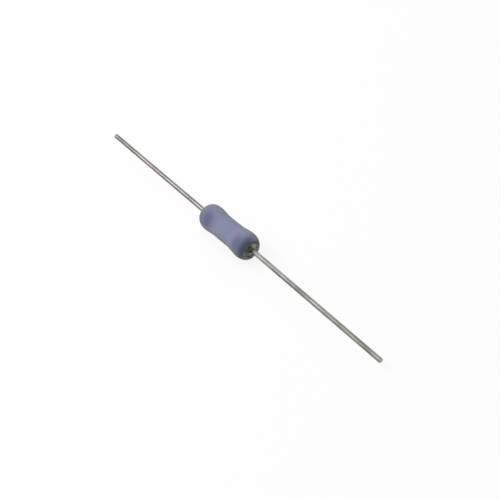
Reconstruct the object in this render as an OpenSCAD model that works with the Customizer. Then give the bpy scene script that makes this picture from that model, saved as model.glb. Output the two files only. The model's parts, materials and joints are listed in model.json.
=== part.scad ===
// Axial metal oxide film resistor.
// A ceramic rod carries a thin resistive film that is cut to a spiral. Drawn caps are pressed over
// the ends of the film, a lead is welded to each cap, and a lacquer coat follows the whole core,
// so that the body is thicker over the caps than over its waist.
// The axis of the leads is X, the origin is the middle of the body, and Z is up.

/* [Body] */
// Length of the coated body over the rims of its two end openings
body_l = 11.7; // [11:0.1:12.6]
// Thickness of the coat over the end caps
coat_t = 0.36; // [0.3:0.02:0.5]
// Thickness of the coat over the film at the waist
waist_t = 0.32; // [0.3:0.02:0.42]
// Length of the straight part of the waist
waist_l = 3.2; // [2:0.2:4]
// Length of the rounded shoulder from the thickest place towards the end
shoulder_l = 2; // [1.9:0.05:2.2]
// How far inside the end opening the curve of the shoulder aims
shoulder_aim = 0.45; // [0.3:0.05:0.6]
// Diameter of the end opening round the lead
opening_d = 2.55; // [2.3:0.05:2.65]
// Depth of the hollow between the rim and the bare cap face
hollow_depth = 0.35; // [0.25:0.05:0.45]
// Radius of the rolled rim of the opening
rim_r = 0.15; // [0.1:0.01:0.18]

/* [Rod and film] */
// Diameter of the ceramic rod
rod_d = 3.3; // [3.1:0.1:3.6]
// Thickness of the film, drawn many times thicker than a real one so that it is a solid
film_t = 0.04; // [0.03:0.01:0.06]
// Number of turns of the spiral cut
cut_turns = 5; // [3:1:6]
// Width of the spiral cut
cut_w = 0.4; // [0.3:0.05:0.45]

/* [End caps] */
// Wall thickness of the caps
cap_t = 0.2; // [0.15:0.01:0.25]
// Thickness of the closed end of the caps
cap_end_t = 0.25; // [0.2:0.01:0.3]
// Length of the caps
cap_l = 2.8; // [2.4:0.1:3]
// Outer corner radius of the caps
cap_corner_r = 0.42; // [0.38:0.02:0.46]
// Chamfer inside the mouth of the caps, which leads the rod in
mouth_chamfer = 0.08; // [0.04:0.02:0.12]

/* [Leads] */
// Diameter of the leads
lead_d = 0.75; // [0.7:0.01:0.85]
// Length of a lead outside the body
lead_l = 28; // [20:1:32]
// Diameter of the welded foot of the leads
foot_d = 1.3; // [1.1:0.1:1.5]
// Height of the welded foot
foot_h = 0.32; // [0.2:0.02:0.4]
// Radius of the rounded tips
tip_r = 0.26; // [0.1:0.02:0.34]

/* [Hidden] */
$fn = 96;

// Core, from the inside out
rod_r = rod_d / 2;
film_r = rod_r + film_t;
cap_r = film_r + cap_t;
cap_bore_corner_r = cap_corner_r - cap_t;
cap_face_x = body_l / 2 - hollow_depth;
cap_mouth_x = cap_face_x - cap_l;
rod_end_x = cap_face_x - cap_end_t;
corner_gap = 0.05;
rod_chamfer = cap_bore_corner_r + corner_gap;
film_end_x = rod_end_x - rod_chamfer;

// Spiral cut, which keeps a whole band of film next to each cap
cut_to_cap = 0.35;
cut_steps = 36;
cut_span = 2 * (cap_mouth_x - cut_to_cap) - cut_w;
cut_pitch = cut_span / cut_turns;
cutter_play = 0.1;

// Coat
waist_r = film_r + waist_t;
bulge_r = cap_r + coat_t;
opening_r = opening_d / 2;
shoulder_drop = bulge_r - opening_r + shoulder_aim;
blend_steps = 12;
shoulder_steps = 14;
rim_steps = 4;
corner_steps = 5;

// Leads
lead_r = lead_d / 2;
foot_r = foot_d / 2;
foot_edge = 0.06;
lead_tip_x = body_l / 2 + lead_l;
foot_steps = 6;
tip_steps = 5;

// Points on an arc, angles in degrees
function arc(centre, r, from, to, steps) =
    [for (i = [0:steps]) let (a = from + (to - from) * i / steps) centre + r * [cos(a), sin(a)]];

function reversed(points) = [for (i = [len(points) - 1:-1:0]) points[i]];

// The other end of an outline given as [radius, x]
function other_end(points) = [for (p = reversed(points)) [p[0], -p[1]]];

// Share of the rise from the waist to the bulge, level at both ends
function rise(u) = u * u * (3 - 2 * u);

// Outward normal of the shoulder ellipse at the angle t from its thickest place, as [radial, axial]
function shoulder_normal(t) =
    let (n = [cos(t) / shoulder_drop, sin(t) / shoulder_l]) n / norm(n);

// Point of the shoulder measured from the centre of its ellipse, sunk below it by a depth
function shoulder_point(t, depth) =
    [shoulder_drop * cos(t), shoulder_l * sin(t)] - depth * shoulder_normal(t);

// Angle where the round rim leaves the shoulder, found by halving: there the centre of the rim,
// one rim radius below the shoulder, stands one rim radius outside the opening
function rim_angle(low = 0, high = 90, left = 24) =
    let (middle = (low + high) / 2)
    left == 0 ? middle
    : shoulder_point(middle, rim_r)[0] > opening_r + rim_r - (bulge_r - shoulder_drop)
        ? rim_angle(middle, high, left - 1)
        : rim_angle(low, middle, left - 1);

rim_t = rim_angle();
rim_from = shoulder_point(rim_t, rim_r);
rim_centre = [opening_r + rim_r, body_l / 2 - rim_r];
bulge_x = rim_centre[1] - rim_from[1];
rim_start = atan2(shoulder_normal(rim_t)[1], shoulder_normal(rim_t)[0]);

// Rolled rim, from the shoulder over its crest at 90 degrees to the edge of the opening at 180
function rim() = concat(
    [for (i = [0:rim_steps - 1]) let (a = rim_start + (90 - rim_start) * i / rim_steps)
        rim_centre + rim_r * [cos(a), sin(a)]],
    arc(rim_centre, rim_r, 90, 180, rim_steps)
);

// Outside of the coat from the edge of the waist over the bulge, the shoulder and the rim
function coat_outside() = concat(
    [for (i = [0:blend_steps - 1]) let (u = i / blend_steps)
        [waist_r + (bulge_r - waist_r) * rise(u), waist_l / 2 + (bulge_x - waist_l / 2) * u]],
    [for (i = [0:shoulder_steps - 1])
        [bulge_r - shoulder_drop, bulge_x] + shoulder_point(rim_t * i / shoulder_steps, 0)],
    rim()
);

// Outside of a cap from its face over the corner to its mouth
function cap_outside() = concat(
    arc([cap_r - cap_corner_r, cap_face_x - cap_corner_r], cap_corner_r, 90, 0, corner_steps),
    [[cap_r, cap_mouth_x]]
);

// Chamfered mouth of a cap, from the outside inwards
function cap_mouth() = [[film_r + mouth_chamfer, cap_mouth_x], [film_r, cap_mouth_x + mouth_chamfer]];

// Bore of a cap from its mouth to the closed end
function cap_bore() = concat(
    cap_mouth(),
    arc([film_r - cap_bore_corner_r, rod_end_x - cap_bore_corner_r], cap_bore_corner_r,
        0, 90, corner_steps)
);

// Turns an outline given as [radius, x] round the axis of the leads
module turned() {
    rotate([0, 90, 0]) rotate_extrude() children();
}

// Lacquer coat, open round both leads, that fits the caps and the film
module coating() {
    half = concat(coat_outside(), [[opening_r, cap_face_x]], cap_outside(), cap_mouth());
    color([0.54, 0.56, 0.67])
    turned() polygon(concat(half, other_end(half)));
}

// Ceramic rod with chamfered ends
module ceramic_rod() {
    half = [[rod_r, film_end_x], [rod_r - rod_chamfer, rod_end_x], [0, rod_end_x]];
    color([0.94, 0.92, 0.87])
    turned() polygon(concat(half, other_end(half)));
}

// Cutter for the spiral, as a rectangle swept along a helix and standing proud on both sides
module spiral_cut() {
    steps = cut_steps * cut_turns;
    outline = [[rod_r - cutter_play, -1], [film_r + cutter_play, -1],
               [film_r + cutter_play, 1], [rod_r - cutter_play, 1]];
    points = [for (i = [0:steps]) let (a = 360 * i / cut_steps, x = cut_pitch * i / cut_steps - cut_span / 2)
        for (corner = outline) [x + corner[1] * cut_w / 2, corner[0] * cos(a), corner[0] * sin(a)]];
    sides = [for (i = [0:steps - 1]) for (k = [0:3]) let (a = 4 * i + k, b = 4 * i + (k + 1) % 4)
        each [[a, b, b + 4], [a, b + 4, a + 4]]];
    last = 4 * steps;
    polyhedron(points, concat([[3, 2, 1, 0]], sides, [[last, last + 1, last + 2, last + 3]]));
}

// Resistive film: whole bands under and beside the caps, joined by the strip that the cut leaves
module oxide_film() {
    tube = [[rod_r, film_end_x], [film_r, film_end_x]];
    color([0.22, 0.22, 0.25])
    difference() {
        turned() polygon(concat(tube, other_end(tube)));
        spiral_cut();
    }
}

// Drawn cap, open towards the middle of the body
module end_cap() {
    color([0.75, 0.75, 0.74])
    turned() polygon(concat([[0, cap_face_x]], cap_outside(), cap_bore(), [[0, rod_end_x]]));
}

module end_cap_right() end_cap();
module end_cap_left() mirror([1, 0, 0]) end_cap();

// Round lead with a welded foot on the cap face and a rounded tip
module lead() {
    foot = [for (i = [0:foot_steps]) let (a = 90 * i / foot_steps)
        [foot_r - (foot_r - lead_r) * sin(a), cap_face_x + foot_h - (foot_h - foot_edge) * cos(a)]];
    tip = arc([lead_r - tip_r, lead_tip_x - tip_r], tip_r, 0, 90, tip_steps);
    color([0.74, 0.74, 0.71])
    turned() polygon(concat([[0, cap_face_x], [foot_r, cap_face_x]], foot, tip, [[0, lead_tip_x]]));
}

module lead_right() lead();
module lead_left() mirror([1, 0, 0]) lead();

coating();
ceramic_rod();
oxide_film();
end_cap_left();
end_cap_right();
lead_left();
lead_right();
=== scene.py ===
# %% [markdown]
# # An axial metal oxide film resistor
# Under its grey-blue lacquer this resistor is a ceramic rod with a thin resistive film, a drawn
# metal cap pressed over each end, and a tinned copper lead welded to each cap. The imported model
# holds every one of these pieces at its real size in metres. This lesson keeps those sizes, gives
# the pieces that show a finer mesh of the same form, and then a finish, a floor, lamps and a camera.

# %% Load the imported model
import json
import math

import bpy
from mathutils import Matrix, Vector


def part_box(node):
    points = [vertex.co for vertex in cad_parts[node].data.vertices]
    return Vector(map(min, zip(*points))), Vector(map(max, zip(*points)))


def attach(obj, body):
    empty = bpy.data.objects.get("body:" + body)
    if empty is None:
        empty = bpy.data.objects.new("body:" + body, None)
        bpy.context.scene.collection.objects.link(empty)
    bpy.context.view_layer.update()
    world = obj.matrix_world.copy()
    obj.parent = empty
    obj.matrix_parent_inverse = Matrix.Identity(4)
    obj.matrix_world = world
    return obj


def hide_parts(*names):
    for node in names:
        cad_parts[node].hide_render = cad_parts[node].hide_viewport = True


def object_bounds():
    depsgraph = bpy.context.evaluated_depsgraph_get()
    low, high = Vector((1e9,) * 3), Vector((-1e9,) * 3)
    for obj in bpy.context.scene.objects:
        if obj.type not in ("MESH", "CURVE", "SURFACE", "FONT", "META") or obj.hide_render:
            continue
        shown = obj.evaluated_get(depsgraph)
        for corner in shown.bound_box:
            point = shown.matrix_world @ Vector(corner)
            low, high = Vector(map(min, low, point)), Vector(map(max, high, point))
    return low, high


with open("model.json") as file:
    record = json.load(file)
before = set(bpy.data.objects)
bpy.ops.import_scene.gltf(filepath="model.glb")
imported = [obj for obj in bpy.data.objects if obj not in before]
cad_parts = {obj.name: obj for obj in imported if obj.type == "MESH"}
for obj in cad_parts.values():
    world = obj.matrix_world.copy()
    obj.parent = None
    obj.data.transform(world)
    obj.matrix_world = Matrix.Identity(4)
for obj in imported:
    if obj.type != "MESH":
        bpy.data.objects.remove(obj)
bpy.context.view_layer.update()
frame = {"nodes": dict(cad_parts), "record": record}
print("nodes:", ", ".join(sorted(frame["nodes"])))

# %% [markdown]
# ## Sizes
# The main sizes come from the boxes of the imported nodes, so the new meshes can't drift away from
# them. A box doesn't say where the waist begins or how wide the end openings are. Those few values
# are the ones that the body was designed with, written in millimetres.

# %% Take the sizes from the frame
MM = 0.001
body_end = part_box("coating")[1][0]
bulge_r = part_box("coating")[1][2]
film_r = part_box("oxide_film")[1][2]
cap_mouth_x, cap_face_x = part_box("end_cap_right")[0][0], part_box("end_cap_right")[1][0]
cap_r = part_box("end_cap_right")[1][2]
foot_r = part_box("lead_right")[1][2]
lead_tip_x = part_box("lead_right")[1][0]
lead_r = frame["record"]["mounts"][0]["dims"]["r_mm"] * MM

waist_t = 0.32 * MM
waist_half = 1.6 * MM
shoulder_l = 2.0 * MM
shoulder_aim = 0.45 * MM
opening_r = 1.275 * MM
rim_r = 0.15 * MM
cap_t = 0.2 * MM
cap_end_t = 0.25 * MM
cap_corner_r = 0.42 * MM
mouth_chamfer = 0.08 * MM
foot_h = 0.32 * MM
foot_edge = 0.06 * MM
tip_r = 0.26 * MM
print("body %.2f x %.2f mm, lead %.2f mm thick, %.1f mm long" % (
    2 * body_end / MM, 2 * bulge_r / MM, 2 * lead_r / MM, (lead_tip_x - body_end) / MM))

# %% [markdown]
# ## Outlines
# Every piece that shows is turned round one axis, so each needs only half a section: a line of
# points, each a radius and a place along the axis. Straight stretches are cut into short steps as
# well, because the lathe below can only ripple a surface where it has points to move. The points
# run so that the metal or the lacquer lies on their left, which makes the faces point outwards.

# %% Helpers for half sections
def line(start, end, steps):
    """Points from start to just before end, each a radius and a place on the axis."""
    return [tuple(a + (b - a) * i / steps for a, b in zip(start, end)) for i in range(steps)]


def arc(centre, radius, start, end, steps):
    """Points on an arc, both ends included, with angles in degrees from the radial direction."""
    angles = [math.radians(start + (end - start) * i / steps) for i in range(steps + 1)]
    return [(centre[0] + radius * math.cos(a), centre[1] + radius * math.sin(a)) for a in angles]


def other_end(section):
    """The same half section at the other end of the resistor."""
    return [(r, -x) for r, x in reversed(section)]


print("a quarter arc in two steps:", [(round(r, 2), round(x, 2)) for r, x in arc((0, 0), 1, 0, 90, 2)])

# %% [markdown]
# ## Half section of the lacquer
# The lacquer follows what is under it, so the body swells over the caps and stays slim over the
# film. Each shoulder is a quarter of an ellipse that runs into a small rolled rim, and the rim
# stands clear of the cap face, so that a shallow hollow stays open round the lead. Where the rim
# touches the shoulder has no simple formula, so it is found by halving an angle again and again.

# %% Where the rolled rim leaves the shoulder
HALVINGS = 24
rim_centre = (opening_r + rim_r, body_end - rim_r)


def shoulder_point(drop, angle, depth=0.0):
    """A point of the shoulder ellipse about its own centre, sunk below the surface by a depth."""
    radial, axial = math.cos(angle) / drop, math.sin(angle) / shoulder_l
    length = math.hypot(radial, axial)
    return (drop * math.cos(angle) - depth * radial / length,
            shoulder_l * math.sin(angle) - depth * axial / length)


def rim_angle(bulge, drop):
    """The angle at which the rolled rim leaves the shoulder."""
    low, high = 0.0, math.pi / 2
    for _ in range(HALVINGS):
        middle = (low + high) / 2
        if bulge - drop + shoulder_point(drop, middle, rim_r)[0] > rim_centre[0]:
            low = middle
        else:
            high = middle
    return low


usual_drop = bulge_r - opening_r + shoulder_aim
print("the rim leaves the shoulder at %.1f degrees" % math.degrees(rim_angle(bulge_r, usual_drop)))

# %% [markdown]
# The outline runs from the waist over the bulge, the shoulder and the rim into the hollow, and
# back along the outside of the cap to its mouth. The last stretch never shows, but it makes the
# coat a closed shell with its true thickness. Dipping never builds up the same coat at both ends,
# so one end is a few hundredths of a millimetre fuller.

# %% Lacquer outline
WAIST_STEPS, SHOULDER_STEPS, RIM_STEPS, HOLLOW_STEPS, CORNER_STEPS = 48, 40, 18, 4, 10
waist_r = film_r + waist_t
uneven_dip = 0.03 * MM
cap_corner = (cap_r - cap_corner_r, cap_face_x - cap_corner_r)
cap_outside = arc(cap_corner, cap_corner_r, 90, 0, CORNER_STEPS) + [(cap_r, cap_mouth_x)]
cap_mouth = [(film_r + mouth_chamfer, cap_mouth_x), (film_r, cap_mouth_x + mouth_chamfer)]


def rise(share):
    """A smooth rise from nought to one, level at both ends."""
    return share * share * (3 - 2 * share)


def coat_half(bulge):
    """One end of the coat: waist, bulge, shoulder, rim, hollow, and back along the cap."""
    drop = bulge - opening_r + shoulder_aim
    leave = rim_angle(bulge, drop)
    slope = math.degrees(math.atan2(math.sin(leave) / shoulder_l, math.cos(leave) / drop))
    bulge_x = rim_centre[1] - shoulder_point(drop, leave, rim_r)[1]
    outline = []
    for i in range(WAIST_STEPS):
        x = bulge_x * i / WAIST_STEPS
        share = max(0.0, (x - waist_half) / (bulge_x - waist_half))
        outline.append((waist_r + (bulge - waist_r) * rise(share), x))
    for i in range(SHOULDER_STEPS):
        radial, axial = shoulder_point(drop, leave * i / SHOULDER_STEPS)
        outline.append((bulge - drop + radial, bulge_x + axial))
    outline += arc(rim_centre, rim_r, slope, 180, RIM_STEPS)
    outline += line((opening_r, rim_centre[1]), (opening_r, cap_face_x), HOLLOW_STEPS)[1:]
    print("bulge %.2f mm thick at x = %.2f mm" % (2 * bulge / MM, bulge_x / MM))
    return outline + [(opening_r, cap_face_x)] + cap_outside + cap_mouth


coat_section = coat_half(bulge_r + uneven_dip) + other_end(coat_half(bulge_r - uneven_dip))[:-1]
print(len(coat_section), "points in the section of the coat")

# %% [markdown]
# ## Half sections of a cap and a lead
# The cap is a drawn cup with rounded corners. Only its face shows, at the bottom of the hollow,
# so the face gets the most points. The lead starts as a foot that the weld has upset against the
# cap, narrows to plain wire and ends in a tip that shearing and tinning have rounded.

# %% Cap and lead outlines
FACE_STEPS, BORE_STEPS, FOOT_STEPS, WIRE_STEPS, TIP_STEPS, TIP_FACE_STEPS = 24, 8, 12, 190, 10, 3
bore_corner_r = cap_corner_r - cap_t
rod_end_x = cap_face_x - cap_end_t
bore_corner = (film_r - bore_corner_r, rod_end_x - bore_corner_r)
cap_section = (line((0, cap_face_x), (cap_r - cap_corner_r, cap_face_x), FACE_STEPS)
               + cap_outside + cap_mouth
               + arc(bore_corner, bore_corner_r, 0, 90, BORE_STEPS)
               + [(0, rod_end_x)])[::-1]

foot_curve = []
for i in range(FOOT_STEPS + 1):
    turn = math.radians(90 * i / FOOT_STEPS)
    foot_curve.append((foot_r - (foot_r - lead_r) * math.sin(turn),
                       cap_face_x + foot_h - (foot_h - foot_edge) * math.cos(turn)))
wire_end = (lead_r, lead_tip_x - tip_r)
tip = arc((lead_r - tip_r, lead_tip_x - tip_r), tip_r, 0, 90, TIP_STEPS)
lead_section = ([(0, cap_face_x), (foot_r, cap_face_x)] + foot_curve[:-1]
                + line(foot_curve[-1], wire_end, WIRE_STEPS) + tip
                + line(tip[-1], (0, lead_tip_x), TIP_FACE_STEPS)[1:] + [(0, lead_tip_x)])
print("cap section: %d points, lead section: %d points" % (len(cap_section), len(lead_section)))

# %% [markdown]
# ## Helpers for node trees
# Shader trees and geometry trees are built the same way: place a node, set its properties, and
# fill its inputs with plain values or with links from other nodes. One short function does all
# three, so that the trees below read from top to bottom like a recipe. The others are for what
# comes up again and again: sums of numbers or vectors, two masks at once, a ramp, and a named
# input of a group.

# %% Node helpers
def add(tree, kind, inputs=None, **settings):
    """Places a node, sets its properties, and fills its inputs with values or links."""
    made = tree.nodes.new(kind)
    for name, value in settings.items():
        setattr(made, name, value)
    for socket, value in (inputs or {}).items():
        if isinstance(value, bpy.types.NodeSocket):
            tree.links.new(value, made.inputs[socket])
        else:
            made.inputs[socket].default_value = value
    return made


def sum_up(tree, operation, first, second=0.0, third=0.0):
    """A Math node on up to three numbers or links, and returns its result."""
    inputs = {0: first, 1: second, 2: third}
    return add(tree, "ShaderNodeMath", inputs, operation=operation).outputs[0]


def both(tree, first, second):
    """The product of two masks, which is white only where both are."""
    return sum_up(tree, "MULTIPLY", first, second)


def ramp(tree, value, low, high, start=0.0, end=1.0, kind="SMOOTHSTEP"):
    """A ramp of a value from low to high, smooth unless another kind is asked for."""
    return add(tree, "ShaderNodeMapRange", {0: value, 1: low, 2: high, 3: start, 4: end},
               interpolation_type=kind).outputs[0]


def on_vector(tree, operation, first, second=None, result=0):
    """A Vector Math node on one or two vectors, and returns its result."""
    inputs = {0: first} if second is None else {0: first, 1: second}
    return add(tree, "ShaderNodeVectorMath", inputs, operation=operation).outputs[result]


def socket(tree, name, kind, value=None, out=False):
    """A named input or output of a node group, with its usual value."""
    made = tree.interface.new_socket(name, in_out="OUTPUT" if out else "INPUT",
                                     socket_type="NodeSocket" + kind)
    if value is not None:
        made.default_value = value


print("node helpers:", ", ".join(f.__name__ for f in (add, sum_up, both, ramp, on_vector, socket)))

# %% [markdown]
# ## The lathe
# A turned piece could be made with the Spin tool or a Screw modifier. Here it is a Geometry Nodes
# tree, because one tree can turn all five pieces, and can also spoil them a little, as handling
# and dipping do. Its inputs are the half section, the steps round the axis, and the flaws:
#
# - Swell thickens the whole skin, as solder does.
# - Ripple is the slow unevenness of a dipped skin, and Lumps are faster and stay near the ends.
# - Lean moves a stretch of the piece off the axis, since no such body is quite straight and no
#   weld is quite central. It sets in along Lean From to Lean To, and Fade From to Fade To ends it,
#   together with the swell.
# - Askew makes the ends fuller on one side, where wet lacquer gathered. Askew Right says how much
#   of that the right end has, and a minus there puts it on the other side.

# %% Name the inputs of the lathe
LATHE_INPUTS = (
    ("Section", "Object", None), ("Steps Round", "Int", 96), ("Finish", "Material", None),
    ("Seed", "Float", 0.0), ("Swell", "Float", 0.0),
    ("Ripple", "Float", 0.0), ("Ripple Size", "Float", 0.002),
    ("Lumps", "Float", 0.0), ("Lump Size", "Float", 0.0005),
    ("Lumps From", "Float", 0.0), ("Lumps To", "Float", 1.0),
    ("Lean", "Vector", None), ("Lean From", "Float", 0.0), ("Lean To", "Float", 1.0),
    ("Fade From", "Float", 0.0), ("Fade To", "Float", 1.0),
    ("Askew", "Vector", None), ("Askew From", "Float", 0.0), ("Askew To", "Float", 1.0),
    ("Askew Right", "Float", -1.0))
print("the lathe takes", len(LATHE_INPUTS), "named inputs")

# %% [markdown]
# The tree has three parts. Curve to Mesh sweeps the half section round a small circle, and Merge
# by Distance closes the poles on the axis. Then every point of the skin gets a height along its
# own direction away from the axis, and a shift that whole stretches of the piece share. Set
# Position applies both at once.

# %% Sweep the half section
PATH_R = 1.0 * MM
POLE_GAP = 0.001 * MM


def turned_skin(tree, given):
    """The skin of the piece: its half section swept round the X axis, with closed poles."""
    section = add(tree, "GeometryNodeObjectInfo", {"Object": given["Section"]}).outputs["Geometry"]
    path = add(tree, "GeometryNodeCurvePrimitiveCircle",
               {"Resolution": given["Steps Round"], "Radius": PATH_R}).outputs["Curve"]
    swept = add(tree, "GeometryNodeCurveToMesh", {"Curve": path, "Profile Curve": section}).outputs[0]
    turned = add(tree, "GeometryNodeTransform",
                 {"Geometry": swept, "Rotation": (0, -math.pi / 2, 0)}).outputs[0]
    return add(tree, "GeometryNodeMergeByDistance",
               {"Geometry": turned, "Distance": POLE_GAP}).outputs[0]


def waver(tree, given, place, size, shift):
    """Noise from about minus one to one, with features of a given size in metres."""
    scale = sum_up(tree, "DIVIDE", 1.0, size)
    seed = sum_up(tree, "ADD", given["Seed"], shift)
    cloud = add(tree, "ShaderNodeTexNoise",
                {"Vector": place, "W": seed, "Scale": scale, "Detail": 1.5},
                noise_dimensions="4D").outputs[0]
    return sum_up(tree, "MULTIPLY_ADD", cloud, 4.0, -2.0)


print("the path of the sweep has a radius of %.1f mm" % (PATH_R / MM))

# %% Raise and lean the skin
def skin_height(tree, given, place, along, outward, fade):
    """How far each point of the skin moves away from the axis."""
    skin = add(tree, "GeometryNodeInputNormal").outputs[0]
    facing = on_vector(tree, "DOT_PRODUCT", skin, outward, "Value")
    outside = ramp(tree, facing, 0.0, 0.4, kind="LINEAR")
    ripple = waver(tree, given, place, given["Ripple Size"], 0.0)
    slow = sum_up(tree, "MULTIPLY_ADD", ripple, given["Ripple"], both(tree, given["Swell"], fade))

    from_middle = sum_up(tree, "ABSOLUTE", along)
    lumps = both(tree, waver(tree, given, place, given["Lump Size"], 7.0), given["Lumps"])
    lumps_here = ramp(tree, from_middle, given["Lumps From"], given["Lumps To"])
    ripples = sum_up(tree, "MULTIPLY_ADD", lumps, lumps_here, both(tree, slow, outside))

    to_side = on_vector(tree, "DOT_PRODUCT", outward, given["Askew"], "Value")
    share = ramp(tree, along, 0.0, given["Askew From"], 1.0, given["Askew Right"], kind="LINEAR")
    fuller = sum_up(tree, "MAXIMUM", both(tree, to_side, share), 0.0)
    askew_here = ramp(tree, from_middle, given["Askew From"], given["Askew To"])
    return sum_up(tree, "MULTIPLY_ADD", fuller, askew_here, ripples)


def skin_shift(tree, given):
    """The whole way that each point of the skin moves, as a vector."""
    place = add(tree, "GeometryNodeInputPosition").outputs[0]
    parts = add(tree, "ShaderNodeSeparateXYZ", {0: place}).outputs
    radial = add(tree, "ShaderNodeCombineXYZ", {"Y": parts["Y"], "Z": parts["Z"]}).outputs[0]
    outward = on_vector(tree, "NORMALIZE", radial)
    fade = ramp(tree, parts["X"], given["Fade From"], given["Fade To"], 1.0, 0.0, kind="LINEAR")
    height = skin_height(tree, given, place, parts["X"], outward, fade)
    push = add(tree, "ShaderNodeVectorMath", {0: outward, "Scale": height}, operation="SCALE")
    leaning = both(tree, ramp(tree, parts["X"], given["Lean From"], given["Lean To"]), fade)
    lean = add(tree, "ShaderNodeVectorMath", {0: given["Lean"], "Scale": leaning},
               operation="SCALE")
    return on_vector(tree, "ADD", push.outputs[0], lean.outputs[0])


def lathe_tree():
    """The whole lathe, from the half section to a finished mesh with its material."""
    tree = bpy.data.node_groups.new("lathe", "GeometryNodeTree")
    for name, kind, value in LATHE_INPUTS:
        socket(tree, name, kind, value)
    socket(tree, "Geometry", "Geometry", out=True)
    given = add(tree, "NodeGroupInput").outputs
    skin = turned_skin(tree, given)
    moved = add(tree, "GeometryNodeSetPosition", {"Geometry": skin, "Offset": skin_shift(tree, given)})
    smooth = add(tree, "GeometryNodeSetShadeSmooth", {"Geometry": moved.outputs[0]})
    real = add(tree, "GeometryNodeRealizeInstances", {"Geometry": smooth.outputs[0]})
    done = add(tree, "GeometryNodeSetMaterial",
               {"Geometry": real.outputs[0], "Material": given["Finish"]})
    add(tree, "NodeGroupOutput", {"Geometry": done.outputs[0]})
    return tree


lathe = lathe_tree()
print("lathe tree:", len(lathe.nodes), "nodes")

# %% [markdown]
# ## Patches and grain, used by every finish
# No real surface has one even colour. Two small shader groups are built once and placed in each
# material with its own sizes. The first gives soft patches, which may be stretched along the axis
# until they look like drawing lines. Its Level says how much of the surface they leave free: at a
# half they cover about half of it, and at a higher level they are only a few specks. The second
# gives the height of a fine grain with small pits, for a Bump node. Both read Object coordinates,
# so the pattern stays on the piece from every side.

# %% Build the shared shader groups
def scaled_place(tree, size, stretch):
    """Object coordinates divided by a feature size, and by a stretch along the axis as well."""
    place = add(tree, "ShaderNodeTexCoord").outputs["Object"]
    across = sum_up(tree, "DIVIDE", 1.0, size)
    along = sum_up(tree, "DIVIDE", across, stretch)
    scale = add(tree, "ShaderNodeCombineXYZ", {"X": along, "Y": across, "Z": across}).outputs[0]
    return on_vector(tree, "MULTIPLY", place, scale)


def patches_group():
    """Soft patches, given as a mask."""
    tree = bpy.data.node_groups.new("patches", "ShaderNodeTree")
    for name, value in (("Size", 0.001), ("Stretch", 1.0), ("Softness", 0.2), ("Level", 0.5),
                        ("Seed", 0.0)):
        socket(tree, name, "Float", value)
    socket(tree, "Mask", "Float", out=True)
    given = add(tree, "NodeGroupInput").outputs
    place = scaled_place(tree, given["Size"], given["Stretch"])
    cloud = add(tree, "ShaderNodeTexNoise",
                {"Vector": place, "W": given["Seed"], "Scale": 1.0, "Detail": 3.0},
                noise_dimensions="4D").outputs[0]
    low = sum_up(tree, "SUBTRACT", given["Level"], given["Softness"])
    high = sum_up(tree, "ADD", given["Level"], given["Softness"])
    add(tree, "NodeGroupOutput", {"Mask": ramp(tree, cloud, low, high)})
    return tree


def grain_group():
    """Fine grain with small pits, given as a height."""
    tree = bpy.data.node_groups.new("grain", "ShaderNodeTree")
    for name, value in (("Size", 0.0003), ("Stretch", 1.0), ("Pits", 0.2)):
        socket(tree, name, "Float", value)
    socket(tree, "Height", "Float", out=True)
    given = add(tree, "NodeGroupInput").outputs
    place = scaled_place(tree, given["Size"], given["Stretch"])
    waves = add(tree, "ShaderNodeTexNoise", {"Vector": place, "Scale": 1.0, "Detail": 2.0}).outputs[0]
    cells = add(tree, "ShaderNodeTexVoronoi", {"Vector": place, "Scale": 1.7}).outputs["Distance"]
    pit = ramp(tree, cells, 0.0, 0.25, -1.0, 0.0)
    height = sum_up(tree, "MULTIPLY_ADD", pit, given["Pits"], waves)
    add(tree, "NodeGroupOutput", {"Height": height})
    return tree


patches, grain = patches_group(), grain_group()
print("groups:", patches.name, "and", grain.name)

# %% [markdown]
# A material is a recipe of masks. Patches and grain give the even wear of a surface. Two more
# kinds of mask say where on the resistor something happened: a stretch of the axis, in
# millimetres from the middle of the body, and one side of a round piece, as an angle round the
# axis. Each step below mixes one more colour into the tone through such a mask.
#
# The Mix node keeps the sockets of all its data types side by side under the same names, so its
# colour sockets are told apart by their place in the list.

# %% Helpers for masks and tones
MIX_FACTOR, MIX_FIRST, MIX_SECOND, MIX_RESULT = 0, 6, 7, 2


def patch_mask(tree, **amounts):
    """The mask of a patches group placed in a material, with its sizes given by name."""
    named = {name.capitalize(): value for name, value in amounts.items()}
    return add(tree, "ShaderNodeGroup", named, node_tree=patches).outputs["Mask"]


def grain_height(tree, **amounts):
    """The height of a grain group placed in a material, from nought to about one."""
    named = {name.capitalize(): value for name, value in amounts.items()}
    return add(tree, "ShaderNodeGroup", named, node_tree=grain).outputs["Height"]


def mixed(tree, factor, first, second, blend="MIX"):
    """A colour between two colours, which may be values or links."""
    inputs = {MIX_FACTOR: factor, MIX_FIRST: first, MIX_SECOND: second}
    for index in (MIX_FIRST, MIX_SECOND):
        if isinstance(inputs[index], tuple):
            inputs[index] = (*inputs[index], 1.0)
    node = add(tree, "ShaderNodeMix", inputs, data_type="RGBA", blend_type=blend)
    return node.outputs[MIX_RESULT]


def stretch_of(tree, length, low, high, start=0.0, end=1.0):
    """A smooth ramp of a length, between two places given in millimetres."""
    return ramp(tree, length, low * MM, high * MM, start, end)


def band(tree, length, sets_in, ends, level=1.0):
    """A mask for one stretch of a length, which sets in and ends softly between two places each."""
    return both(tree, stretch_of(tree, length, *sets_in), stretch_of(tree, length, *ends, level, 0.0))


def axis_place(tree):
    """Place along the axis, distance from it, and the direction straight away from it."""
    place = add(tree, "ShaderNodeTexCoord").outputs["Object"]
    parts = add(tree, "ShaderNodeSeparateXYZ", {0: place}).outputs
    flat = add(tree, "ShaderNodeCombineXYZ", {"Y": parts["Y"], "Z": parts["Z"]}).outputs[0]
    radius = on_vector(tree, "LENGTH", flat, result="Value")
    return parts["X"], radius, on_vector(tree, "NORMALIZE", flat)


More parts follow.
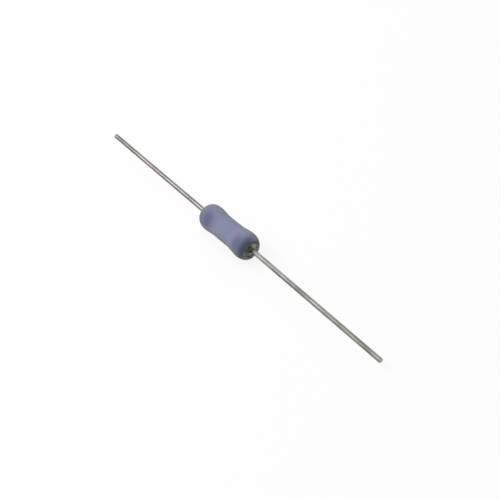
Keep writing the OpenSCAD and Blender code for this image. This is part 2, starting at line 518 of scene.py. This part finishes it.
def on_side(tree, outward, degrees, low, high):
    """A mask for one side of a round piece: the side turned this far round the axis from +Y."""
    turn = math.radians(degrees)
    side = on_vector(tree, "DOT_PRODUCT", outward, (0.0, math.cos(turn), math.sin(turn)), "Value")
    return ramp(tree, side, low, high)


print("masks by place are measured from the middle of a body %.1f mm long" % (2 * body_end / MM))

# %% [markdown]
# Every finish starts from the same empty material. At the end its tone, its roughness and its
# height are joined to the shader, and plain numbers such as a specular level are set on it.

# %% Helpers that start and end a finish
def finish(name):
    """A new material with an empty tree, its shader already joined to the output."""
    made = bpy.data.materials.new(name)
    made.use_nodes = True
    tree = made.node_tree
    tree.nodes.clear()
    shader = add(tree, "ShaderNodeBsdfPrincipled")
    add(tree, "ShaderNodeOutputMaterial", {"Surface": shader.outputs[0]})
    return made, tree, shader


def colour_and_roughness(tree, shader, tone, rough):
    """Joins a colour and a roughness to the shader of a finish."""
    tree.links.new(tone, shader.inputs["Base Color"])
    tree.links.new(rough, shader.inputs["Roughness"])


def bump(tree, shader, height, depth):
    """Roughens a finish by a height from nought to one, which stands for a depth in metres."""
    bent = add(tree, "ShaderNodeBump", {"Height": height, "Distance": depth}).outputs[0]
    tree.links.new(bent, shader.inputs["Normal"])


print("finish helpers:", ", ".join(f.__name__ for f in (finish, colour_and_roughness, bump)))

# %% [markdown]
# ## The lacquer
# The coat is a silicone lacquer, dipped and baked: satin, grey-blue, and never quite even. Two
# near tones and a greener one drift into each other over a millimetre or two, and beside the near
# bulge the coat is a little cooler.

# %% Colours of the lacquer
COOLER = {"sets_in": (0.4, 1.8), "ends": (2.8, 4.2)}


def lacquer_tones(tree, place_x):
    """The drifting tones of the whole coat."""
    violet = patch_mask(tree, size=1.5 * MM, stretch=1.3, softness=0.16, seed=3.0)
    green = patch_mask(tree, size=1.1 * MM, stretch=1.0, softness=0.12, seed=11.0)
    tone = mixed(tree, violet, (0.252, 0.292, 0.485), (0.295, 0.288, 0.475))
    tone = mixed(tree, both(tree, green, 0.35), tone, (0.245, 0.285, 0.390))
    return mixed(tree, band(tree, place_x, **COOLER, level=0.5), tone, (0.245, 0.270, 0.435))


print("cooler from x = %.1f to %.1f mm" % (COOLER["sets_in"][0], COOLER["ends"][1]))

# %% [markdown]
# Over both caps one side of the lacquer is darker and bluer, with a darker patch beside the far
# bulge and a weaker one on the near bulge. Painted grey shade lies along the underside towards
# the near end, and over the far end.

# %% Where the lacquer ran
OVER_CAP = (2.2, 3.8)
FAR_PATCH = {"sets_in": (-4.4, -3.2), "ends": (-3.0, -1.4)}
NEAR_PATCH = {"sets_in": (3.1, 3.9), "ends": (4.1, 4.8)}


def lacquer_dark_side(tree, tone, place_x, outward):
    """The tones with the darker, bluer side over the caps and its two darker patches."""
    from_middle = sum_up(tree, "ABSOLUTE", place_x)
    over_cap = stretch_of(tree, from_middle, *OVER_CAP, 0.0, 0.85)
    darker_side = both(tree, over_cap, on_side(tree, outward, 153, 0.35, 1.0))
    tone = mixed(tree, darker_side, tone, (0.165, 0.182, 0.345))
    near_patch = both(tree, band(tree, place_x, **NEAR_PATCH, level=0.32),
                    on_side(tree, outward, 152, 0.72, 0.95))
    tone = mixed(tree, near_patch, tone, (0.110, 0.132, 0.250))
    far_patch = both(tree, band(tree, place_x, **FAR_PATCH, level=0.55),
                   on_side(tree, outward, 146, 0.79, 0.99))
    return mixed(tree, far_patch, tone, (0.098, 0.118, 0.252))


def lacquer_grey_shade(tree, tone, place_x, outward):
    """The tones with painted grey shade along the underside and over the far end."""
    # Painted grey shade along the underside towards the near end.
    underside_shade = both(tree, on_side(tree, outward, 210, 0.76, 0.98),
                     stretch_of(tree, place_x, -2.0, 1.5))
    tone = mixed(tree, underside_shade, tone, (0.212, 0.229, 0.300))
    # Painted grey shade over the far end, darker on one side.
    far_end_shade = mixed(tree, on_side(tree, outward, 190, 0.0, 0.8),
                     (0.235, 0.238, 0.280), (0.180, 0.183, 0.225))
    return mixed(tree, stretch_of(tree, place_x, -5.5, -4.2, 0.85, 0.0), tone, far_end_shade)


print("deeper over the caps, more than %.1f mm off the middle" % OVER_CAP[0])

# %% [markdown]
# Painted shade darkens the lacquer on one side of the near shoulder, towards the weld. On the
# rolled rim the lacquer is thin and grey, lighter round most of it as a painted highlight and
# darker on one side as painted shade, and painted light brightens the inner wall of the hollow. A
# few specks of dust baked in, and a few spots of pale filler lie bare. The first two pairs below
# are places along the axis, and the third is a distance from it, all in millimetres.

# %% Colours of its ends, and the specks
SHADED_SHOULDER, THIN_RIM, LIT_WALL = (4.25, 5.6), (5.52, 5.82), (1.34, 1.46)


def lacquer_ends(tree, tone, place_x, radius, outward):
    """The tones with painted shade on the near shoulder, the thin rim and painted light in the hollow.
    """
    # Painted shade on one side of the near shoulder.
    shoulder_shade = both(tree, stretch_of(tree, place_x, *SHADED_SHOULDER),
                    on_side(tree, outward, 140, 0.0, 0.95))
    tone = mixed(tree, shoulder_shade, tone, (0.080, 0.096, 0.168))
    thin = stretch_of(tree, sum_up(tree, "ABSOLUTE", place_x), *THIN_RIM)
    # The thin rim: a painted highlight round most of it, and painted shade on one side.
    rim = mixed(tree, on_side(tree, outward, 100, 0.2, 0.75),
                (0.245, 0.250, 0.285), (0.110, 0.130, 0.135))
    tone = mixed(tree, thin, tone, rim)
    # Painted light on the inner wall of the hollow, weaker on one side.
    lit_wall = mixed(tree, on_side(tree, outward, 140, 0.6, 0.95),
                (0.500, 0.520, 0.530), (0.240, 0.260, 0.260))
    return mixed(tree, stretch_of(tree, radius, *LIT_WALL, 1.0, 0.0), tone, lit_wall)


def specked(tree, tone):
    """The tones with specks of dust and of chalky filler."""
    dust = patch_mask(tree, size=0.11 * MM, softness=0.04, level=0.64, seed=31.0)
    tone = mixed(tree, both(tree, dust, 0.30), tone, (0.150, 0.155, 0.220))
    chalk = patch_mask(tree, size=0.08 * MM, softness=0.05, level=0.65, seed=37.0)
    return mixed(tree, both(tree, chalk, 0.22), tone, (0.460, 0.480, 0.580))


print("scorched from x = %.2f mm, thin from x = %.2f mm" % (SHADED_SHOULDER[0], THIN_RIM[0]))

# %% [markdown]
# The grain is the orange peel of baked lacquer, a few hundredths of a millimetre deep at the
# most, with a finer grain on top. A coat layer that hardly reflects, but has a tint, makes the
# colour greyer and darker where one looks through more of it, at the edges.

# %% Lacquer finish
def lacquer_finish():
    """Satin grey-blue lacquer with orange peel."""
    made, tree, shader = finish("lacquer")
    place_x, radius, outward = axis_place(tree)
    tone = lacquer_dark_side(tree, lacquer_tones(tree, place_x), place_x, outward)
    tone = lacquer_grey_shade(tree, tone, place_x, outward)
    tone = lacquer_ends(tree, tone, place_x, radius, outward)
    worn = patch_mask(tree, size=0.5 * MM, softness=0.2, seed=21.0)
    colour_and_roughness(tree, shader, specked(tree, tone),
                         sum_up(tree, "MULTIPLY_ADD", worn, 0.12, 0.56))
    peel = grain_height(tree, size=0.30 * MM, pits=0.35)
    fine = grain_height(tree, size=0.07 * MM, pits=0.3)
    bump(tree, shader, sum_up(tree, "MULTIPLY_ADD", fine, 0.30, peel), 0.035 * MM)
    shader.inputs["Specular IOR Level"].default_value = 0.15
    shader.inputs["Diffuse Roughness"].default_value = 0.6
    shader.inputs["Coat Weight"].default_value = 1.0
    shader.inputs["Coat Roughness"].default_value = 0.6
    shader.inputs["Coat IOR"].default_value = 1.01
    shader.inputs["Coat Tint"].default_value = (0.93, 0.92, 0.86, 1.0)
    return made


lacquer = lacquer_finish()
print("lacquer:", len(lacquer.node_tree.nodes), "nodes")

# %% [markdown]
# ## Tinned wire
# The leads are copper wire drawn through a die and dipped in solder, so fine lines run along them
# and dull and bright stretches follow each other. The same patches group makes both: a very long
# stretch gives the lines. A tint then changes along the wire: solder yellows with age towards
# both tips, and on the left lead it is thin enough for the copper to warm it. The right lead has
# a painted highlight by the body and another along one side, and is rough and grey at its tip. The
# left one has painted shade along its lower side and a painted highlight at its very tip.

# %% Tints along the wire
# The first tint is a painted highlight at the left tip.
TIP_HIGHLIGHT = (1.17, 1.19, 1.12)
YELLOWED = (0.98, 1.00, 0.92)
ROSY = (1.12, 1.00, 1.02)
PLAIN = (1.00, 1.00, 1.00)
DULL_TIP = (0.95, 0.95, 0.93)
ALONG_THE_WIRE = ((-30.5, -28.5, YELLOWED), (-26.0, -24.5, ROSY), (-6.0, 6.0, PLAIN),
                  (15.0, 17.0, YELLOWED), (28.0, 33.2, DULL_TIP))
# A painted highlight on the right lead, by the body.
ROOT_HIGHLIGHT = {"sets_in": (6.0, 6.6), "ends": (10.2, 11.6)}


def wire_tint(tree, place_x, outward):
    """What the colour of the tin is multiplied by, from the left tip to the right one."""
    # Start from the painted highlight at the left tip.
    tint = TIP_HIGHLIGHT
    for low, high, next_tint in ALONG_THE_WIRE:
        tint = mixed(tree, stretch_of(tree, place_x, low, high), tint, next_tint)
    # Painted highlight by the body of the right lead.
    tint = mixed(tree, band(tree, place_x, **ROOT_HIGHLIGHT), tint, (1.60, 1.60, 1.58))
    # Painted highlight along one side of the right lead.
    upper_highlight = both(tree, on_side(tree, outward, 35, 0.4, 0.95), stretch_of(tree, place_x, 4.0, 6.0))
    tint = mixed(tree, upper_highlight, tint, (1.58, 1.60, 1.50))
    # Painted shade along the lower side of the left lead.
    lower_shade = both(tree, on_side(tree, outward, 215, 0.4, 0.95), stretch_of(tree, place_x, -4.0, -6.0))
    return mixed(tree, lower_shade, tint, (0.78, 0.73, 0.74))


print("the tint changes at x =", ", ".join("%.1f mm" % low for low, _, _ in ALONG_THE_WIRE))

# %% [markdown]
# Painted shade darkens one side of the wire's root, in the hollow. The sheared tip is paler than
# the rest. A metal mirrors its surroundings at a grazing angle almost wholly, whatever its
# colour. In a white studio that would wash out both edges of the wire, so a grey Specular Tint
# holds the edges down, as the oxide on old tin does.

# %% Wire finish
CUT_FACE = (0.12 * MM, 0.02 * MM)


def wire_finish():
    """Drawn wire dipped in solder, with dull and bright stretches."""
    made, tree, shader = finish("tinned_wire")
    lines = patch_mask(tree, size=0.05 * MM, stretch=60.0, softness=0.18, seed=5.0)
    dull = patch_mask(tree, size=1.2 * MM, stretch=3.5, softness=0.15, seed=11.0)
    tone = mixed(tree, lines, (0.315, 0.312, 0.308), (0.240, 0.237, 0.232))
    tone = mixed(tree, both(tree, dull, 0.85), tone, (0.150, 0.149, 0.144))
    place_x, _, outward = axis_place(tree)
    tone = mixed(tree, 1.0, tone, wire_tint(tree, place_x, outward), blend="MULTIPLY")
    from_middle = sum_up(tree, "ABSOLUTE", place_x)
    # Painted shade on one side of the wire's root, in the hollow.
    root_shade = both(tree, stretch_of(tree, from_middle, 5.65, 5.95, 1.0, 0.0),
                on_side(tree, outward, 165, -0.5, 0.4))
    tone = mixed(tree, root_shade, tone, (0.075, 0.080, 0.068))
    cut_face = ramp(tree, from_middle, lead_tip_x - CUT_FACE[0], lead_tip_x - CUT_FACE[1])
    tone = mixed(tree, cut_face, tone, (0.480, 0.460, 0.430))
    rough = sum_up(tree, "ADD", stretch_of(tree, place_x, -8.0, 10.0, 0.26, 0.36),
                   stretch_of(tree, place_x, 27.0, 31.5, 0.0, 0.14))
    rough = sum_up(tree, "MULTIPLY_ADD", dull, 0.14, rough)
    colour_and_roughness(tree, shader, tone, sum_up(tree, "MULTIPLY_ADD", lines, 0.06, rough))
    bump(tree, shader, grain_height(tree, size=0.06 * MM, stretch=12.0, pits=0.4), 0.002 * MM)
    shader.inputs["Metallic"].default_value = 1.0
    shader.inputs["Specular Tint"].default_value = (0.38, 0.38, 0.38, 1.0)
    return made


tinned_wire = wire_finish()
print("tinned wire:", len(tinned_wire.node_tree.nodes), "nodes")

# %% [markdown]
# ## Caps, ceramic and film
# The caps are the same tin, blotched by flux, with painted shade on the lower side of the hollow
# and darker painted shade in the pocket beside the weld. The ceramic and the film are sealed in,
# and get plain but true finishes of their own.

# %% Cap, ceramic and film finishes
def cap_finish():
    """Tinned steel, blotched by flux, with painted shade in the hollow."""
    made, tree, shader = finish("cap_metal")
    _, radius, outward = axis_place(tree)
    spots = patch_mask(tree, size=0.22 * MM, softness=0.10, seed=14.0)
    tone = mixed(tree, spots, (0.46, 0.47, 0.45), (0.24, 0.25, 0.23))
    # Painted shade on the lower side of the cap face.
    tone = mixed(tree, on_side(tree, outward, 200, 0.1, 0.8), tone, (0.165, 0.170, 0.160))
    # Darker painted shade in the pocket beside the weld.
    pocket_shade = both(tree, on_side(tree, outward, 145, 0.0, 0.7),
                  stretch_of(tree, radius, 0.8, 1.15, 1.0, 0.0))
    tone = mixed(tree, pocket_shade, tone, (0.085, 0.092, 0.078))
    colour_and_roughness(tree, shader, tone, sum_up(tree, "MULTIPLY_ADD", spots, 0.2, 0.42))
    bump(tree, shader, grain_height(tree, size=0.15 * MM, pits=0.5), 0.006 * MM)
    shader.inputs["Metallic"].default_value = 0.6
    return made


def ceramic_finish():
    """Fired white ceramic."""
    made, tree, shader = finish("ceramic")
    cloud = patch_mask(tree, size=0.6 * MM, softness=0.25, seed=17.0)
    tone = mixed(tree, cloud, (0.82, 0.79, 0.71), (0.74, 0.70, 0.62))
    colour_and_roughness(tree, shader, tone, sum_up(tree, "MULTIPLY_ADD", cloud, 0.1, 0.6))
    bump(tree, shader, grain_height(tree, size=0.08 * MM, pits=0.6), 0.004 * MM)
    return made


def film_finish():
    """Dark metal oxide with a slight sheen."""
    made, tree, shader = finish("oxide")
    sheen = patch_mask(tree, size=0.8 * MM, stretch=2.0, softness=0.3, seed=19.0)
    tone = mixed(tree, sheen, (0.030, 0.032, 0.045), (0.060, 0.050, 0.075))
    colour_and_roughness(tree, shader, tone, sum_up(tree, "MULTIPLY_ADD", sheen, 0.1, 0.25))
    bump(tree, shader, grain_height(tree, size=0.1 * MM, pits=0.3), 0.001 * MM)
    return made


cap_metal, ceramic, oxide = cap_finish(), ceramic_finish(), film_finish()
print("finishes:", ", ".join(m.name for m in (lacquer, tinned_wire, cap_metal, ceramic, oxide)))

# %% [markdown]
# ## Turn the pieces
# Each half section becomes a curve, the lathe tree turns it, and the result is baked to a plain
# mesh.


def section_curve(name, section, closed):
    """A half section as a poly line, with its axis where the circle of the lathe puts it."""
    curve = bpy.data.curves.new(name, "CURVE")
    curve.dimensions = "3D"
    spline = curve.splines.new("POLY")
    spline.points.add(len(section) - 1)
    for point, (r, x) in zip(spline.points, section):
        point.co = (r - PATH_R, x, 0, 1)
    spline.use_cyclic_u = closed
    return bpy.data.objects.new(name + "_section", curve)


def turned_piece(node, section, closed, material, body="root", **amounts):
    """A baked mesh turned from a half section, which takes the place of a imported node."""
    name = node + "_fine"
    guide = section_curve(name, section, closed)
    piece = bpy.data.objects.new(name, bpy.data.meshes.new(name))
    for made in (guide, piece):
        bpy.context.scene.collection.objects.link(made)
    modifier = piece.modifiers.new("lathe", "NODES")
    modifier.node_group = lathe
    values = {"Section": guide, "Finish": material}
    values.update({key.replace("_", " ").title(): value for key, value in amounts.items()})
    for item in lathe.interface.items_tree:
        if item.name in values:
            modifier[item.identifier] = values[item.name]
    now = bpy.context.evaluated_depsgraph_get()
    mesh = bpy.data.meshes.new_from_object(piece.evaluated_get(now))
    piece.modifiers.clear()
    piece.data = mesh
    bpy.data.objects.remove(guide)
    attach(piece, body)
    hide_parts(node)
    print("%s: %d faces" % (name, len(mesh.polygons)))


# %% [markdown]
# The flaws are small: the lacquer ripples by about two hundredths of a millimetre, gets lumpier
# towards its rims and is fuller on one side of its ends. The body bows a little beyond its
# middle. The right lead is welded a tenth of a millimetre off centre, and runs back to the axis
# at its tip. Its solder is thickest by the body, and on the left lead it is even.

# %% Turn and bake the pieces
bows = {"lean_from": -1.5 * MM, "lean_to": 3.0 * MM}
body_lean = {"lean": (0, 0.070 * MM, 0.049 * MM), "fade_from": 3.2 * MM, "fade_to": 6.2 * MM, **bows}
lead_lean = {"lean": (0, 0.107 * MM, 0.075 * MM), "fade_from": body_end, "fade_to": lead_tip_x,
             **bows}
turned_piece("coating", coat_section, True, lacquer, steps_round=256, seed=4.0,
             ripple=0.018 * MM, ripple_size=2.2 * MM, lumps=0.05 * MM, lump_size=0.45 * MM,
             lumps_from=5.30 * MM, lumps_to=5.80 * MM,
             askew=(0, 0.074 * MM, 0.088 * MM), askew_from=4.2 * MM, askew_to=5.6 * MM,
             askew_right=-0.25, **body_lean)
for end, cap_end, lead_end, solder in (
        ("right", cap_section, lead_section, 0.022 * MM),
        ("left", other_end(cap_section), other_end(lead_section), 0.015 * MM)):
    turned_piece("end_cap_" + end, cap_end, False, cap_metal, steps_round=96, **body_lean)
    turned_piece("lead_" + end, lead_end, False, tinned_wire, steps_round=48, seed=9.0,
                 swell=solder, ripple=0.006 * MM, ripple_size=1.2 * MM, **lead_lean)

# %% [markdown]
# ## Finish the sealed pieces
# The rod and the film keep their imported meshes, since nothing of them shows from outside. They
# still get their own materials, for anyone who takes the coat off in a viewer.

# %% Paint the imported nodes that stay
for node, material in (("ceramic_rod", ceramic), ("oxide_film", oxide)):
    for material_slot in frame["nodes"][node].material_slots:
        material_slot.material = material
    print(node, "painted with", material.name)

# %% [markdown]
# ## The floor
# The resistor lies on a pale floor, on its two bulges. A white background could be had with more
# light, but that would bleach the object too. Here only rays that come from the camera or from a
# reflection see the floor as almost white. All other rays find plain matt paint, and since a
# small share of the paint shows to the camera as well, the floor keeps the object's shadow. That
# share shrinks with the distance from the object, so that no grey horizon shows in low views.

# %% Floor
floor_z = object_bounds()[0][2]
FLOOR_HALF = 1.5
NEAR_OBJECT, FAR_AWAY = 0.15, 0.60
GLOW_SHARE = 0.88
PAINT, GLOW = 0.92, 0.98


def background_rays(tree):
    """One for rays from the camera and for reflected or refracted rays, nought for all the others."""
    rays = add(tree, "ShaderNodeLightPath").outputs
    seen = sum_up(tree, "MAXIMUM", rays["Is Camera Ray"], rays["Is Glossy Ray"])
    return sum_up(tree, "MAXIMUM", seen, rays["Is Transmission Ray"])


def floor_finish():
    """A pale floor that looks almost white and still keeps the shadow."""
    made = bpy.data.materials.new("pale_floor")
    made.use_nodes = True
    tree = made.node_tree
    tree.nodes.clear()
    matt = add(tree, "ShaderNodeBsdfDiffuse", {"Color": (PAINT, PAINT, PAINT, 1.0)})
    glow = add(tree, "ShaderNodeEmission", {"Color": (1.0, 1.0, 1.0, 1.0), "Strength": GLOW})
    place = add(tree, "ShaderNodeTexCoord").outputs["Object"]
    away = on_vector(tree, "LENGTH", place, result="Value")
    share = both(tree, background_rays(tree),
                 ramp(tree, away, NEAR_OBJECT, FAR_AWAY, GLOW_SHARE, 1.0))
    paint = add(tree, "ShaderNodeMixShader", {0: share, 1: matt.outputs[0], 2: glow.outputs[0]})
    add(tree, "ShaderNodeOutputMaterial", {"Surface": paint.outputs[0]})
    return made


def flat_square(name, half, z):
    """One square face, level, at a height."""
    corners = [(x, y, z) for x, y in ((-half, -half), (half, -half), (half, half), (-half, half))]
    mesh = bpy.data.meshes.new(name)
    mesh.from_pydata(corners, [], [(0, 1, 2, 3)])
    made = bpy.data.objects.new(name, mesh)
    bpy.context.scene.collection.objects.link(made)
    return made


floor = flat_square("floor", FLOOR_HALF, floor_z)
floor.data.materials.append(floor_finish())
print("floor at z = %.3f mm" % (floor_z / MM))

# %% [markdown]
# ## Lamps and surround
# The light is that of a small photo tent. One very wide lamp stands beyond the far end and leans
# over the body, so that the lacquer shades off softly towards its near end and its lower side. It
# stays out of reflections, because the metal should mirror the white surround and not a second,
# brighter sheet. A narrow strip lamp in front is the one thing that the leads do mirror, as a
# bright line along their middle. The surround itself gives little light and looks white.
#
# A lamp's power follows from what it does to a white card in the middle. The card sees the lamp
# fill some share of its view, and gets that share of the lamp's brightness. Dividing by the share
# makes a level of one the light that turns the card just white.

# %% Lamps
def filled_share(p, q):
    """Share of a card's light that a lamp square over it gives, from its half sizes by its distance."""
    def part(a, b):
        """What one pair of edges of the square adds to the share."""
        root = math.sqrt(1 + a * a)
        return a / root * math.atan(b / root)
    return (part(p, q) + part(q, p)) * 2 / math.pi


def lamp(name, direction, distance, size, level, shift=0.0, mirrored=True):
    """A rectangular soft lamp that faces the body, moved along the axis by a shift."""
    light = bpy.data.lights.new(name, "AREA")
    light.shape = "RECTANGLE"
    light.size, light.size_y = size
    share = filled_share(size[0] / 2 / distance, size[1] / 2 / distance)
    light.energy = level / share * math.pi * size[0] * size[1]
    made = bpy.data.objects.new(name, light)
    way = Vector(direction).normalized()
    made.location = way * distance + Vector((shift, 0, 0))
    made.rotation_euler = way.to_track_quat("Z", "X").to_euler()
    made.visible_glossy = mirrored
    bpy.context.scene.collection.objects.link(made)
    print("%s: %.1f W, fills %.0f%% of a card's view" % (name, light.energy, 100 * share))


lamp("wide_lamp", direction=(-0.60, 0.00, 0.62), distance=0.45, size=(1.20, 1.60), level=0.97,
     mirrored=False)
lamp("strip_lamp", direction=(0.0, -0.57, 0.82), distance=0.40, size=(0.12, 0.80), level=0.66,
     shift=-0.30)

# %% [markdown]
# The world behind the scene uses the same trick as the floor: the camera and reflections see it
# white, and every other ray gets only a little light from it, which lifts the darkest shade.

# %% Surround
SURROUND_LIGHT, SURROUND_LOOK = 0.05, 1.0
world = bpy.data.worlds.new("studio")
world.use_nodes = True
tree = world.node_tree
surround = tree.nodes["Background"]
shown = sum_up(tree, "MULTIPLY_ADD", background_rays(tree), SURROUND_LOOK - SURROUND_LIGHT,
               SURROUND_LIGHT)
tree.links.new(shown, surround.inputs["Strength"])
surround.inputs["Color"].default_value = (1.0, 1.0, 1.0, 1.0)
bpy.context.scene.world = world
print("the surround lights at %.2f and looks like %.2f" % (SURROUND_LIGHT, SURROUND_LOOK))

# %% [markdown]
# ## The camera
# Two angles and a distance say where the camera stands. The lens and its shift follow from the
# picture: the far and the near tip of the leads have to land on two given pixels. A distance of
# twice the object's length makes the near lead look thicker than the far one, as it should.

# %% Camera
IMAGE = 500
FAR_TIP = (115.8, 135.5)
NEAR_TIP = (381.6, 361.5)
AZIMUTH, ELEVATION = math.radians(52.1), math.radians(41.4)
DISTANCE = 0.1345
SENSOR = 36.0

toward_camera = Vector((math.sin(AZIMUTH) * math.cos(ELEVATION),
                        -math.cos(AZIMUTH) * math.cos(ELEVATION), math.sin(ELEVATION)))
depth_near = DISTANCE - lead_tip_x * toward_camera.x
depth_far = DISTANCE + lead_tip_x * toward_camera.x
sideways = math.sqrt(1 - toward_camera.x ** 2) * lead_tip_x
picture_length = math.dist(FAR_TIP, NEAR_TIP)
focal = picture_length / (sideways / depth_near + sideways / depth_far)
share = (sideways / depth_far) * focal / picture_length
middle = [far + (near - far) * share for far, near in zip(FAR_TIP, NEAR_TIP)]

camera_data = bpy.data.cameras.new("camera")
camera_data.sensor_width = SENSOR
camera_data.lens = focal / IMAGE * SENSOR
camera_data.shift_x = (IMAGE / 2 - middle[0]) / IMAGE
camera_data.shift_y = (middle[1] - IMAGE / 2) / IMAGE
camera_data.clip_start = 1 * MM
camera = bpy.data.objects.new("camera", camera_data)
camera.location = toward_camera * DISTANCE
camera.rotation_euler = toward_camera.to_track_quat("Z", "Y").to_euler()
bpy.context.scene.collection.objects.link(camera)
bpy.context.scene.camera = camera
bpy.context.scene.view_settings.view_transform = "Standard"
print("lens %.1f mm, shift %.4f, %.4f, body at pixel %.1f, %.1f" % (
    camera_data.lens, camera_data.shift_x, camera_data.shift_y, *middle))
